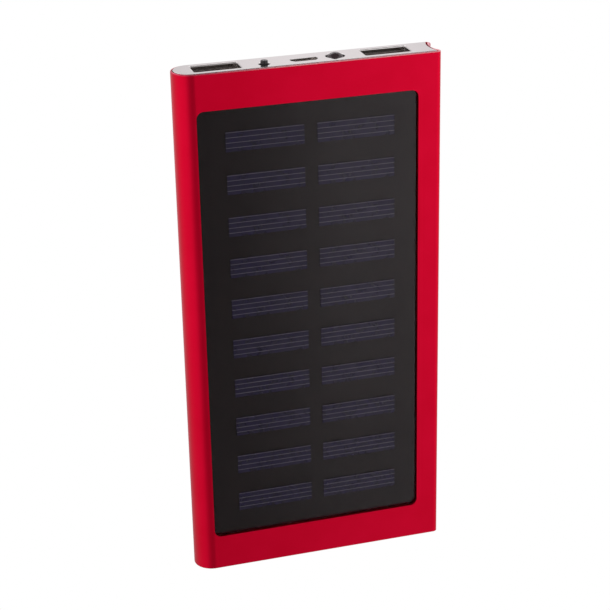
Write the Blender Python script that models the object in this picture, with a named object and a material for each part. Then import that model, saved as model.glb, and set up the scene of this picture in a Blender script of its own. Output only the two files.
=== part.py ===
"""Solar power bank that stands on one end: an extruded aluminium case, a solar panel in a window of its
front, a battery, and a charging board that is screwed to the top end cap.

Frame: +X to the right of someone who faces the panel, +Y towards the back, +Z up. The origin is the
middle of the bottom end. Sizes below are in millimetres, and Blender's own unit here is the metre."""

import math

import bmesh
import bpy
from mathutils import Vector

MM = 0.001

# Case: an extrusion with a full-round left side and a thumb groove along its right side.
CASE_WIDTH = 75.0
CASE_THICKNESS = 10.8
CASE_HEIGHT = 151.0
CASE_WALL = 1.0
CASE_CHAMFER = 0.15
LIP_RADIUS = 1.3
GROOVE_DEPTH = 1.3

# Window for the solar panel, and where its middle is on the front.
WINDOW_WIDTH = 62.9
WINDOW_HEIGHT = 130.1
WINDOW_RADIUS = 2.0
WINDOW_X = -0.75
WINDOW_Z = 75.65

# Solar panel, from its face inwards.
PANEL_GAP = 0.12
PANEL_RECESS = 0.5
COVER_THICKNESS = 0.3
CELL_THICKNESS = 0.2
SOLAR_BOARD_THICKNESS = 0.8
LAYER_GAP = 0.05
CELL_ROWS = 10
CELL_WIDTH = 22.2
CELL_HEIGHT = 5.7
CELL_PITCH = 12.28
CELL_COLUMN_GAP = 3.75
CELL_MIDDLE_X = -0.15
CELL_TOP_ROW_Z = 131.25

# End caps, which plug into the case. Their plates lie in a seat that leaves a thin rim of the wall and,
# because its right side is flatter than the groove, solid lips. The gap is widest beside the groove.
SEAT_RIM = 0.4
SEAT_GROOVE_RIM = 0.35
SEAT_GROOVE_RADIUS = 11.25
SEAT_CORNER = 0.4
SEAT_CLEARANCE = 0.1
CAP_GAP = 0.1
CAP_GROOVE_GAP = 0.35
CAP_PROUD = 0.15
CAP_PLATE = 1.2
CAP_SKIRT = 3.7
CAP_SKIRT_WALL = 0.85
CAP_SKIRT_CORNER = 0.2
CAP_EDGE = 0.15

# Sockets, switch and lamp along the top, left to right.
USB_XS = (-25.1, 22.9)
USB_Y = -0.05
USB_OPENING = (13.0, 6.0)
USB_OUTSIDE = (13.1, 5.7)
USB_INSIDE = (12.5, 5.12)
USB_DEPTH = 14.0
FINGER_TOP = 11.2
FINGER_WIDTH = 2.2
FINGER_SPACING = 6.4
BUTTON_X = -12.0
BUTTON_Y = -1.45
BUTTON_DIAMETER = 2.0
BUTTON_HOLE = 3.1
BUTTON_PROUD = 1.05
BUTTON_TRAVEL = 0.3
MICRO_X = -0.6
MICRO_Y = -1.0
MICRO_OUTSIDE = (7.4, 2.5)
MICRO_CLEARANCE = 0.3
MICRO_DEPTH = 5.2
MICRO_SUNK = 0.65
LAMP_X = 8.35
LAMP_Y = -0.25
LAMP_DIAMETER = 5.0
LAMP_HOLE = 5.3
LAMP_PROUD = 1.0

# Charging board and the screws that hold it to the top cap.
PCB_FRONT_Y = 0.35
PCB_THICKNESS = 1.0
PCB_X = (-33.5, 33.0)
PCB_Z = (119.0, 149.2)
SCREW_XS = (-16.4, 13.9)
SCREW_Z = 144.2
SCREW_DIAMETER = 1.4
SCREW_HEAD_DIAMETER = 2.6

# Battery.
CELL_PACK_SIZE = (66.0, 6.0, 108.0)
CELL_PACK_Y = (-2.9, 3.1)
CELL_PACK_BOTTOM = 6.0

# Places that follow from the sizes above.
FRONT_Y = -CASE_THICKNESS / 2
CAP_TOP_Z = CASE_HEIGHT + CAP_PROUD
CAP_UNDER_Z = CAP_TOP_Z - CAP_PLATE
COVER_Y = FRONT_Y + PANEL_RECESS
CELL_Y = COVER_Y + COVER_THICKNESS + LAYER_GAP
SOLAR_BOARD_Y = CELL_Y + CELL_THICKNESS + LAYER_GAP
SOLAR_BOARD_BACK_Y = SOLAR_BOARD_Y + SOLAR_BOARD_THICKNESS
USB_MOUTH_Z = CAP_UNDER_Z - 0.1

# Materials: colour, roughness, metallic.
FINISHES = {
    "red_anodised_aluminium": ((0.47, 0.004, 0.022), 0.36, 0.85),
    "bright_plating": ((0.70, 0.67, 0.67), 0.08, 1.0),
    "clear_film": ((0.032, 0.027, 0.028), 0.08, 0.0),
    "black_board": ((0.012, 0.011, 0.012), 0.45, 0.0),
    "silicon": ((0.022, 0.018, 0.055), 0.3, 0.2),
    "foam": ((0.08, 0.08, 0.085), 0.9, 0.0),
    "green_board": ((0.012, 0.11, 0.045), 0.45, 0.0),
    "nickel": ((0.62, 0.6, 0.57), 0.25, 1.0),
    "black_plastic": ((0.016, 0.014, 0.014), 0.4, 0.0),
    "gold": ((0.83, 0.6, 0.25), 0.25, 1.0),
    "spring_steel": ((0.6, 0.6, 0.6), 0.3, 1.0),
    "clear_resin": ((0.75, 0.73, 0.76), 0.05, 0.0),
    "pouch_foil": ((0.6, 0.61, 0.63), 0.35, 0.9),
    "ferrite": ((0.05, 0.05, 0.052), 0.6, 0.0),
    "tantalum_body": ((0.72, 0.42, 0.06), 0.45, 0.0),
    "red_insulation": ((0.5, 0.01, 0.01), 0.45, 0.0),
    "black_insulation": ((0.015, 0.015, 0.015), 0.45, 0.0),
    "zinc_steel": ((0.58, 0.59, 0.6), 0.35, 1.0),
}


# ---------------------------------------------------------------- helpers


def clear_scene():
    for old in list(bpy.data.objects):
        bpy.data.objects.remove(old, do_unlink=True)


def material(name):
    """The Principled material of one finish, made on its first use."""
    found = bpy.data.materials.get(name)
    if found:
        return found
    colour, roughness, metallic = FINISHES[name]
    made = bpy.data.materials.new(name)
    made.use_nodes = True
    shader = made.node_tree.nodes["Principled BSDF"]
    shader.inputs["Base Color"].default_value = (*colour, 1.0)
    shader.inputs["Roughness"].default_value = roughness
    shader.inputs["Metallic"].default_value = metallic
    made.diffuse_color = (*colour, 1.0)
    return made


def assembly(name, at):
    """An empty that carries the pieces of one assembly."""
    empty = bpy.data.objects.new(name, None)
    empty.empty_display_size = 5 * MM
    empty.location = Vector(at) * MM
    bpy.context.collection.objects.link(empty)
    return empty


def place(obj, at, parent=None, facing_front=False):
    """Puts a piece at a world position in mm. A piece made in plan that faces the front is stood up."""
    corner = Vector(at) * MM
    if parent:
        obj.parent = parent
        corner = corner - parent.location
    obj.location = corner
    if facing_front:
        obj.rotation_euler = (math.radians(90), 0, 0)
    return obj


def piece(name, shape, finish, at=(0, 0, 0), parent=None, facing_front=False):
    """One named sub-part from a bmesh, with its own material, shaded smooth between its sharp edges."""
    mesh = bpy.data.meshes.new(name)
    shape.to_mesh(mesh)
    shape.free()
    mesh.shade_smooth()
    mesh.set_sharp_from_angle(angle=math.radians(35))
    mesh.materials.append(material(finish))
    obj = bpy.data.objects.new(name, mesh)
    bpy.context.collection.objects.link(obj)
    return place(obj, at, parent, facing_front)


def cutter(name, shape, at, facing_front=False):
    """A helper solid that a Boolean uses, and that isn't a sub-part."""
    mesh = bpy.data.meshes.new(name)
    shape.to_mesh(mesh)
    shape.free()
    obj = bpy.data.objects.new(name, mesh)
    bpy.context.collection.objects.link(obj)
    obj.hide_render = True
    obj.display_type = "WIRE"
    return place(obj, at, None, facing_front)


def combine(obj, operation, *others):
    for other in others:
        modifier = obj.modifiers.new(other.name, "BOOLEAN")
        modifier.operation = operation
        modifier.object = other


def arc(centre, radius, start, end, steps):
    """Points of an arc, ends included, angles in degrees."""
    points = []
    for step in range(steps + 1):
        angle = math.radians(start + (end - start) * step / steps)
        points.append((centre[0] + radius * math.cos(angle), centre[1] + radius * math.sin(angle)))
    return points


def rounded_rectangle(width, height, radius, steps=5):
    """Corner arcs of a rectangle about the origin, anticlockwise."""
    across = width / 2 - radius
    up = height / 2 - radius
    corners = ((across, up, 0), (-across, up, 90), (-across, -up, 180), (across, -up, 270))
    points = []
    for x, y, start in corners:
        points += arc((x, y), radius, start, start + 90, steps)
    return points


def rectangle(width, height):
    across = width / 2
    up = height / 2
    return [(across, up), (-across, up), (-across, -up), (across, -up)]


def grooved_outline(inset, groove_wall, groove_radius, corner):
    """Flat faces that lie inset from the case's own, a full-round left side, and a hollow right side whose
    deepest point is at groove_wall, with round corners. Every arc meets its neighbours smoothly."""
    half_thickness = CASE_THICKNESS / 2
    corner_y = half_thickness - inset - corner
    groove_x = groove_wall + groove_radius
    corner_x = groove_x - math.sqrt((groove_radius + corner) ** 2 - corner_y**2)
    meeting = math.degrees(math.atan2(corner_y, groove_x - corner_x))
    points = arc((half_thickness - CASE_WIDTH / 2, 0), half_thickness - inset, 90, 270, 24)
    points += arc((corner_x, -corner_y), corner, -90, meeting, 7)
    points += arc((groove_x, 0), groove_radius, 180 + meeting, 180 - meeting, 12)[1:-1]
    points += arc((corner_x, corner_y), corner, -meeting, 90, 7)
    return points


def case_outline(inset):
    """Cross-section of the case, moved inwards by inset."""
    lip_y = CASE_THICKNESS / 2 - LIP_RADIUS
    beyond = (lip_y**2 + LIP_RADIUS**2 - (GROOVE_DEPTH + LIP_RADIUS) ** 2) / (2 * GROOVE_DEPTH)
    groove_wall = CASE_WIDTH / 2 - GROOVE_DEPTH - inset
    return grooved_outline(inset, groove_wall, beyond + GROOVE_DEPTH + inset, LIP_RADIUS - inset)


def seat_outline(gap=0.0, groove_gap=0.0):
    """The seat for a cap's plate, moved inwards by gap, and by groove_gap beside the groove."""
    groove_wall = CASE_WIDTH / 2 - GROOVE_DEPTH - SEAT_GROOVE_RIM - groove_gap
    return grooved_outline(SEAT_RIM + gap, groove_wall, SEAT_GROOVE_RADIUS + groove_gap, SEAT_CORNER - gap)


def skirt_outline():
    """A cap's skirt, which fits the bore."""
    inset = CASE_WALL + CAP_GAP
    groove_wall = CASE_WIDTH / 2 - GROOVE_DEPTH - inset
    return grooved_outline(inset, groove_wall, SEAT_GROOVE_RADIUS + inset, CAP_SKIRT_CORNER)


def prism(outline, depth):
    """An outline in plan, extruded upwards."""
    shape = bmesh.new()
    base = shape.faces.new([shape.verts.new((x * MM, y * MM, 0)) for x, y in outline])
    grown = bmesh.ops.extrude_face_region(shape, geom=[base])
    top = [part for part in grown["geom"] if isinstance(part, bmesh.types.BMVert)]
    bmesh.ops.translate(shape, verts=top, vec=(0, 0, depth * MM))
    bmesh.ops.recalc_face_normals(shape, faces=shape.faces)
    return shape


def skin(rings, closed=False):
    """Skins rings of (outline, height) that have equal numbers of points. A closed skin joins its last ring
    to its first, and an open one has flat ends."""
    shape = bmesh.new()
    loops = []
    for outline, height in rings:
        loops.append([shape.verts.new((x * MM, y * MM, height * MM)) for x, y in outline])
    pairs = list(zip(loops, loops[1:]))
    if closed:
        pairs.append((loops[-1], loops[0]))
    else:
        shape.faces.new(loops[0])
        shape.faces.new(loops[-1])
    for low, high in pairs:
        for index in range(len(low)):
            after = (index + 1) % len(low)
            shape.faces.new((low[index], low[after], high[after], high[index]))
    bmesh.ops.recalc_face_normals(shape, faces=shape.faces)
    return shape


def tube(outside, inside, depth):
    return skin([(outside, 0), (outside, depth), (inside, depth), (inside, 0)], closed=True)


def turned(profile, steps=24):
    """A solid turned about Z from (radius, height) points that start and end on the axis."""
    shape = bmesh.new()
    corners = [shape.verts.new((radius * MM, 0, height * MM)) for radius, height in profile]
    edges = [shape.edges.new(pair) for pair in zip(corners, corners[1:])]
    bmesh.ops.spin(
        shape,
        geom=corners + edges,
        cent=(0, 0, 0),
        axis=(0, 0, 1),
        angle=math.tau,
        steps=steps,
        use_merge=True,
    )
    bmesh.ops.remove_doubles(shape, verts=shape.verts, dist=0.0001 * MM)
    bmesh.ops.recalc_face_normals(shape, faces=shape.faces)
    return shape


def rod(diameter, length, steps=24):
    radius = diameter / 2
    return turned([(0, 0), (radius, 0), (radius, length), (0, length)], steps)


def block(width, depth, height, bevel=0.0):
    """A box that stands on its origin, with its edges bevelled."""
    shape = prism(rectangle(width, depth), height)
    if bevel:
        edges = shape.edges[:]
        bmesh.ops.bevel(shape, geom=edges, offset=bevel * MM, segments=2, profile=0.5, affect="EDGES")
    return shape


def smooth_route(stops, steps):
    """Points along a smooth curve through the stops."""
    padded = [stops[0], *stops, stops[-1]]
    points = []
    for before, start, end, after in zip(padded, padded[1:], padded[2:], padded[3:]):
        before, start, end, after = Vector(before), Vector(start), Vector(end), Vector(after)
        for step in range(steps):
            t = step / steps
            points.append(
                0.5
                * (
                    2 * start
                    + (end - before) * t
                    + (2 * before - 5 * start + 4 * end - after) * t**2
                    + (3 * start - before - 3 * end + after) * t**3
                )
            )
    points.append(Vector(stops[-1]))
    return points


def lead(name, stops, diameter, finish):
    """An insulated wire along a smooth route."""
    curve = bpy.data.curves.new(name, "CURVE")
    curve.dimensions = "3D"
    curve.bevel_depth = diameter / 2 * MM
    curve.bevel_resolution = 2
    curve.use_fill_caps = True
    points = smooth_route(stops, 4)
    spline = curve.splines.new("POLY")
    spline.points.add(len(points) - 1)
    for spot, point in zip(spline.points, points):
        spot.co = (*(point * MM), 1.0)
    curve.materials.append(material(finish))
    obj = bpy.data.objects.new(name, curve)
    bpy.context.collection.objects.link(obj)
    return obj


# ---------------------------------------------------------------- case and end caps


def make_case():
    """The extrusion, chamfered round both ends and seated for the caps inside them, with the panel's window
    cut through its front wall."""
    edge = case_outline(CASE_CHAMFER)
    outside = case_outline(0)
    seat = seat_outline()
    inside = case_outline(CASE_WALL)
    bottom_seat_z = CAP_PLATE + SEAT_CLEARANCE
    top_seat_z = CAP_UNDER_Z - SEAT_CLEARANCE
    rings = [
        (edge, 0),
        (outside, CASE_CHAMFER),
        (outside, CASE_HEIGHT - CASE_CHAMFER),
        (edge, CASE_HEIGHT),
        (seat, CASE_HEIGHT),
        (seat, top_seat_z),
        (inside, top_seat_z),
        (inside, bottom_seat_z),
        (seat, bottom_seat_z),
        (seat, 0),
    ]
    case = piece("case_shell", skin(rings, closed=True), "red_anodised_aluminium")
    window = prism(rounded_rectangle(WINDOW_WIDTH, WINDOW_HEIGHT, WINDOW_RADIUS, 8), 3 * CASE_WALL)
    window_at = (WINDOW_X, FRONT_Y + 2 * CASE_WALL, WINDOW_Z)
    combine(case, "DIFFERENCE", cutter("window_cut", window, window_at, True))


def cap_blank():
    """A plate that fits the seat, with a slightly rounded outer edge, and a skirt that fits the bore. It is
    made outer face up, with that face at height 0."""
    depth = CAP_PLATE + CAP_SKIRT
    skirt = skirt_outline()
    plate = seat_outline(CAP_GAP, CAP_GROOVE_GAP)
    edge = seat_outline(CAP_GAP + CAP_EDGE, CAP_GROOVE_GAP + CAP_EDGE)
    return skin([(skirt, -depth), (skirt, -CAP_PLATE), (plate, -CAP_PLATE), (plate, -CAP_EDGE), (edge, 0)])


def skirt_pocket():
    """The hollow inside a cap's skirt, which opens downwards from below the plate. Beside the groove it
    leaves a wall."""
    left = CASE_WALL + CAP_GAP + GROOVE_DEPTH - CASE_WIDTH / 2
    right = -left - CAP_SKIRT_WALL
    across = CASE_THICKNESS - 2 * (CASE_WALL + CAP_GAP + CAP_SKIRT_WALL)
    outline = rounded_rectangle(right - left, across, across / 2 - 0.4, 6)
    return prism([(x + (left + right) / 2, y) for x, y in outline], CAP_SKIRT + 1)


def make_top_cap():
    """Bright plate with five openings. Two bosses below it take the charging board's screws."""
    cap = piece("top_end_cap", cap_blank(), "bright_plating", (0, 0, CAP_TOP_Z))
    pocket = cutter("top_pocket", skirt_pocket(), (0, 0, CAP_UNDER_Z - CAP_SKIRT - 1))
    combine(cap, "DIFFERENCE", pocket)

    into_plate = 0.5
    boss_width = 3.0
    boss_depth = 7.2
    boss_front_y = FRONT_Y + CASE_WALL + 0.5
    boss_back_y = PCB_FRONT_Y - 0.1
    boss_y = (boss_front_y + boss_back_y) / 2
    pilot_length = 3.7
    for index, x in enumerate(SCREW_XS):
        shape = block(boss_width, boss_back_y - boss_front_y, boss_depth + into_plate)
        combine(cap, "UNION", cutter(f"boss_{index}", shape, (x, boss_y, CAP_UNDER_Z - boss_depth)))
        pilot = rod(SCREW_DIAMETER + 0.1, pilot_length, 16)
        pilot = cutter(f"pilot_{index}", pilot, (x, PCB_FRONT_Y, SCREW_Z), True)
        combine(cap, "DIFFERENCE", pilot)

    below = CAP_UNDER_Z - 1
    through = CAP_PLATE + 2
    for index, x in enumerate(USB_XS):
        opening = prism(rounded_rectangle(*USB_OPENING, 0.4, 4), through)
        combine(cap, "DIFFERENCE", cutter(f"usb_opening_{index}", opening, (x, USB_Y, below)))
    micro = prism(micro_outline(MICRO_CLEARANCE), through)
    combine(cap, "DIFFERENCE", cutter("micro_opening", micro, (MICRO_X, MICRO_Y, below)))
    button = rod(BUTTON_HOLE, through, 32)
    combine(cap, "DIFFERENCE", cutter("button_hole", button, (BUTTON_X, BUTTON_Y, below)))
    lamp = rod(LAMP_HOLE, through, 40)
    combine(cap, "DIFFERENCE", cutter("lamp_hole", lamp, (LAMP_X, LAMP_Y, below)))


def make_bottom_cap():
    """A plain cap, flush with the bottom end, so that the object stands on it and on the case's rim."""
    cap = piece("bottom_end_cap", cap_blank(), "bright_plating")
    cap.rotation_euler = (math.pi, 0, 0)
    pocket = cutter("bottom_pocket", skirt_pocket(), (0, 0, CAP_PLATE))
    combine(cap, "DIFFERENCE", pocket)


# ---------------------------------------------------------------- solar panel


def make_solar_panel():
    """Clear face film over ten rows of two cells on a black board, all let into the window."""
    panel = assembly("solar_panel", (WINDOW_X, COVER_Y, WINDOW_Z))
    width = WINDOW_WIDTH - 2 * PANEL_GAP
    height = WINDOW_HEIGHT - 2 * PANEL_GAP
    sheet = rounded_rectangle(width, height, WINDOW_RADIUS - PANEL_GAP, 8)
    cover_at = (WINDOW_X, COVER_Y + COVER_THICKNESS, WINDOW_Z)
    piece("solar_cover", prism(sheet, COVER_THICKNESS), "clear_film", cover_at, panel, True)
    board_at = (WINDOW_X, SOLAR_BOARD_BACK_Y, WINDOW_Z)
    piece("solar_board", prism(sheet, SOLAR_BOARD_THICKNESS), "black_board", board_at, panel, True)

    from_middle = (CELL_WIDTH + CELL_COLUMN_GAP) / 2
    for side, x in (("left", CELL_MIDDLE_X - from_middle), ("right", CELL_MIDDLE_X + from_middle)):
        for row in range(CELL_ROWS):
            z = CELL_TOP_ROW_Z - row * CELL_PITCH
            strip = prism(rectangle(CELL_WIDTH, CELL_HEIGHT), CELL_THICKNESS)
            at = (x, CELL_Y + CELL_THICKNESS, z)
            piece(f"solar_cell_{side}_{row + 1:02d}", strip, "silicon", at, panel, True)

    pad_size = (54.0, 96.0)
    pad_thickness = 0.5
    pad_middle_z = 62.0
    pad = prism(rounded_rectangle(*pad_size, 1.5, 3), pad_thickness)
    pad_at = (WINDOW_X, SOLAR_BOARD_BACK_Y + LAYER_GAP + pad_thickness, pad_middle_z)
    piece("panel_adhesive_pad", pad, "foam", pad_at, panel, True)


# ---------------------------------------------------------------- battery


def make_battery():
    """Flat pouch cell with a sealed top edge, the foam that fills the space behind it, the nickel tabs that
    leave the seal, and the protection board in front of them."""
    battery = assembly("battery", (0, 0, CELL_PACK_BOTTOM))
    width, thickness, height = CELL_PACK_SIZE
    middle_y = sum(CELL_PACK_Y) / 2
    seal_height = 3.2
    seal_thickness = 0.9
    body_height = height - seal_height
    side_radius = 2.4
    end_round = 0.8
    pouch = prism(rounded_rectangle(width, thickness, side_radius, 5), body_height)
    ends = [edge for edge in pouch.edges if abs(edge.verts[0].co.z - edge.verts[1].co.z) < 0.01 * MM]
    bmesh.ops.bevel(pouch, geom=ends, offset=end_round * MM, segments=3, profile=0.5, affect="EDGES")
    cell = piece("battery_cell", pouch, "pouch_foil", (0, middle_y, CELL_PACK_BOTTOM), battery)
    into_body = 1.0
    seal = block(width - 2 * side_radius - 0.2, seal_thickness, seal_height + into_body)
    seal_at = (0, middle_y, CELL_PACK_BOTTOM + body_height - into_body)
    combine(cell, "UNION", cutter("battery_seal", seal, seal_at))

    pad_size = (50.0, 90.0)
    pad_thickness = 1.15
    pad_middle_z = 60.0
    pad = prism(rounded_rectangle(*pad_size, 2.0, 3), pad_thickness)
    pad_back_y = CASE_THICKNESS / 2 - CASE_WALL - LAYER_GAP
    piece("battery_foam_pad", pad, "foam", (0, pad_back_y, pad_middle_z), battery, True)

    pack_top = CELL_PACK_BOTTOM + height
    tab_size = (5.0, 0.15, 2.4)
    for name, x in (("battery_tab_positive", -9.0), ("battery_tab_negative", 9.0)):
        piece(name, block(*tab_size), "nickel", (x, middle_y, pack_top + LAYER_GAP), battery)
    protection = prism(rectangle(34, 2.6), 0.8)
    protection_at = (0, middle_y - tab_size[1], pack_top + 1.6)
    piece("battery_protection_board", protection, "green_board", protection_at, battery, True)


def make_leads():
    """Wires that stay inside the case: battery to charging board, and panel to charging board."""
    along_board = PCB_FRONT_Y - 0.75
    for name, side, finish in (
        ("battery_lead_red", -1, "red_insulation"),
        ("battery_lead_black", 1, "black_insulation"),
    ):
        stops = [
            (side * 13.0, -0.2, 117.4),
            (side * 12.4, -0.35, 118.9),
            (side * 11.2, -0.35, 120.8),
            (side * 10.4, along_board, 122.8),
            (side * 10.2, along_board, 124.4),
        ]
        lead(name, stops, 1.3, finish)
    on_panel = SOLAR_BOARD_BACK_Y + 0.55
    on_board = PCB_FRONT_Y - 0.55
    for name, x, finish in (
        ("solar_lead_red", -3.0, "red_insulation"),
        ("solar_lead_black", 3.0, "black_insulation"),
    ):
        stops = [
            (x, on_panel, 131.5),
            (x, on_panel, 129.0),
            (x * 1.1, -2.2, 126.6),
            (x * 1.2, -0.9, 125.0),
            (x * 1.3, on_board, 123.2),
            (x * 1.3, on_board, 121.8),
        ]
        lead(name, stops, 0.9, finish)


# ---------------------------------------------------------------- charging board and what is on it


def board_outline():
    """The charging board, with notches in its top edge for the two large sockets and for the lamp."""
    left, right = PCB_X
    bottom, top = PCB_Z
    usb_half = USB_OUTSIDE[0] / 2 + 0.2
    usb_floor = USB_MOUTH_Z - USB_DEPTH - 0.3
    lamp_half = 3.15
    lamp_floor = 142.4
    notches = (
        (USB_XS[1], usb_half, usb_floor),
        (LAMP_X, lamp_half, lamp_floor),
        (USB_XS[0], usb_half, usb_floor),
    )
    points = [(left, bottom), (right, bottom), (right, top)]
    for x, half, floor in notches:
        points += [(x + half, top), (x + half, floor), (x - half, floor), (x - half, top)]
    points.append((left, top))
    return points


def make_charging_board():
    electronics = assembly("electronics", (0, PCB_FRONT_Y, PCB_Z[0]))
    board_at = (0, PCB_FRONT_Y + PCB_THICKNESS, 0)
    board = prism(board_outline(), PCB_THICKNESS)
    board = piece("charging_board", board, "green_board", board_at, electronics, True)
    for index, x in enumerate(SCREW_XS):
        hole = rod(SCREW_DIAMETER + 0.3, PCB_THICKNESS + 2, 20)
        at = (x, PCB_FRONT_Y + PCB_THICKNESS + 1, SCREW_Z)
        combine(board, "DIFFERENCE", cutter(f"board_hole_{index}", hole, at, True))

    on_board = PCB_FRONT_Y - LAYER_GAP
    chip_at = (14.0, on_board, 129.0)
    chip = block(5.0, 4.0, 1.4, 0.15)
    chip = piece("charge_controller_chip", chip, "black_plastic", chip_at, electronics, True)
    combine(chip, "UNION", cutter("chip_legs", chip_legs(), chip_at, True))
    coil = block(7.0, 7.0, 2.0, 0.4)
    piece("boost_inductor", coil, "ferrite", (4.6, on_board, 134.0), electronics, True)
    capacitor = block(7.3, 4.3, 2.8, 0.2)
    piece("output_capacitor", capacitor, "tantalum_body", (22.8, on_board, 130.0), electronics, True)

    for index, x in enumerate(SCREW_XS):
        screw_at = (x, PCB_FRONT_Y + PCB_THICKNESS + 0.7, SCREW_Z)
        name = ("board_screw_left", "board_screw_right")[index]
        piece(name, screw_shape(), "zinc_steel", screw_at, electronics, True)
    return electronics


def chip_legs():
    """Eight bent legs, four along each long side of a chip whose middle is the origin."""
    upper_side = [(1.8, 0.8), (2.5, 0.8), (2.75, 0.2), (3.2, 0.2)]
    lower_side = [(3.2, 0.0), (2.6, 0.0), (2.35, 0.6), (1.8, 0.6)]
    bend = upper_side + lower_side
    leg_width = 0.42
    pitch = 1.27
    shape = bmesh.new()
    for side in (-1, 1):
        for number in range(4):
            x = (number - 1.5) * pitch - leg_width / 2
            base = shape.faces.new([shape.verts.new((x * MM, side * y * MM, z * MM)) for y, z in bend])
            grown = bmesh.ops.extrude_face_region(shape, geom=[base])
            far = [part for part in grown["geom"] if isinstance(part, bmesh.types.BMVert)]
            bmesh.ops.translate(shape, verts=far, vec=(leg_width * MM, 0, 0))
    bmesh.ops.recalc_face_normals(shape, faces=shape.faces)
    return shape


def screw_shape():
    """A pan-head self-tapping screw: its head is at the back, and its shank points to the front."""
    head = SCREW_HEAD_DIAMETER / 2
    shank = SCREW_DIAMETER / 2
    head_profile = [(0, 0), (head * 0.72, 0), (head, 0.25), (head, 0.62)]
    shank_profile = [(shank, 0.65), (shank, 4.5), (0.25, 5.1), (0, 5.1)]
    return turned(head_profile + shank_profile, 16)


# ---------------------------------------------------------------- sockets


def spring_finger(side):
    """A bent strip in the wall of a socket's shell, made about the shell's middle. It is rooted towards the
    mouth, leans into the socket and turns out again at its tip. Side is -1 in front and 1 at the back."""
    wall = (USB_OUTSIDE[1] - USB_INSIDE[1]) / 2
    outer = USB_OUTSIDE[1] / 2
    bends = ((0.0, 0.5), (0.0, -0.4), (0.42, -4.0), (0.2, -5.2))
    line = [(lean, FINGER_TOP + height) for lean, height in bends]
    shape = bmesh.new()
    bend = [(outer - lean, height) for lean, height in line]
    bend += [(outer - wall - lean, height) for lean, height in reversed(line)]
    corners = [shape.verts.new((-FINGER_WIDTH / 2 * MM, side * y * MM, height * MM)) for y, height in bend]
    grown = bmesh.ops.extrude_face_region(shape, geom=[shape.faces.new(corners)])
    far = [part for part in grown["geom"] if isinstance(part, bmesh.types.BMVert)]
    bmesh.ops.translate(shape, verts=far, vec=(FINGER_WIDTH * MM, 0, 0))
    bmesh.ops.recalc_face_normals(shape, faces=shape.faces)
    return shape


def make_usb_shell(name, x, floor, electronics):
    """A folded steel tube with two spring fingers in each broad wall, and two tabs that rest on the
    board."""
    outline = rounded_rectangle(*USB_OUTSIDE, 0.6, 4)
    shell = tube(outline, rounded_rectangle(*USB_INSIDE, 0.3, 4), USB_DEPTH)
    shell = piece(name, shell, "nickel", (x, USB_Y, floor), electronics)
    slot_height = 6.2
    for side in (-1, 1):
        wall_y = USB_Y + side * USB_OUTSIDE[1] / 2
        for offset in (-FINGER_SPACING / 2, FINGER_SPACING / 2):
            slot = block(FINGER_WIDTH + 0.9, 1.0, slot_height)
            slot_at = (x + offset, wall_y, floor + FINGER_TOP - slot_height)
            tag = f"{name}_{'back' if side > 0 else 'front'}_{'right' if offset > 0 else 'left'}"
            combine(shell, "DIFFERENCE", cutter(f"{tag}_slot", slot, slot_at))
            finger = cutter(f"{tag}_finger", spring_finger(side), (x + offset, USB_Y, floor))
            combine(shell, "UNION", finger)
        tab = block(1.6, 0.3, 3.0)
        tab_x = x + side * (USB_OUTSIDE[0] / 2 + 0.6)
        tab_at = (tab_x, PCB_FRONT_Y - LAYER_GAP - 0.15, floor + 2.5)
        combine(shell, "UNION", cutter(f"{name}_tab_{'right' if side > 0 else 'left'}", tab, tab_at))


def make_usb_sockets(electronics):
    """Two full-size sockets, each a steel shell round an insulator with a blade and four contacts."""
    floor = USB_MOUTH_Z - USB_DEPTH
    base_depth = 3.0
    blade_thickness = 1.9
    blade_depth = USB_DEPTH - 1.2
    blade_y = USB_Y - USB_INSIDE[1] / 2 + 0.75 + blade_thickness / 2
    contact_pitch = 2.3
    for side, x in zip(("left", "right"), USB_XS):
        make_usb_shell(f"usb_{side}_shell", x, floor, electronics)

        base = block(USB_INSIDE[0] - 0.2, USB_INSIDE[1] - 0.2, base_depth)
        insulator = piece(f"usb_{side}_insulator", base, "black_plastic", (x, USB_Y, floor), electronics)
        blade = block(11.1, blade_thickness, blade_depth, 0.2)
        combine(insulator, "UNION", cutter(f"usb_{side}_blade", blade, (x, blade_y, floor + 0.2)))

        contact_y = blade_y + blade_thickness / 2 + LAYER_GAP + 0.1
        for number in range(4):
            contact_x = x + (number - 1.5) * contact_pitch
            contact = block(1.0, 0.2, 8.0)
            at = (contact_x, contact_y, floor + base_depth + LAYER_GAP)
            piece(f"usb_{side}_contact_{number + 1}", contact, "gold", at, electronics)


def micro_outline(clearance):
    """A wide hexagon-like outline: flat back, and a narrower front."""
    width = MICRO_OUTSIDE[0] + clearance
    height = MICRO_OUTSIDE[1] + clearance
    across = width / 2
    up = height / 2
    narrow = across - 1.0
    bend_y = -0.1 * up
    left = [(-across, up), (-across, bend_y), (-narrow, -up)]
    right = [(narrow, -up), (across, bend_y), (across, up)]
    return left + right


def make_micro_socket(electronics):
    mouth = CAP_TOP_Z - MICRO_SUNK
    floor = mouth - MICRO_DEPTH
    shell = tube(micro_outline(0), micro_outline(-0.5), MICRO_DEPTH)
    piece("micro_usb_shell", shell, "nickel", (MICRO_X, MICRO_Y, floor), electronics)
    base = prism(micro_outline(-0.6), 1.2)
    insulator = piece("micro_usb_insulator", base, "black_plastic", (MICRO_X, MICRO_Y, floor), electronics)
    blade_at = (MICRO_X, MICRO_Y + 0.35, floor + 0.3)
    combine(insulator, "UNION", cutter("micro_blade", block(4.4, 0.7, MICRO_DEPTH - 1.0), blade_at))


# ---------------------------------------------------------------- switch and lamp


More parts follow.
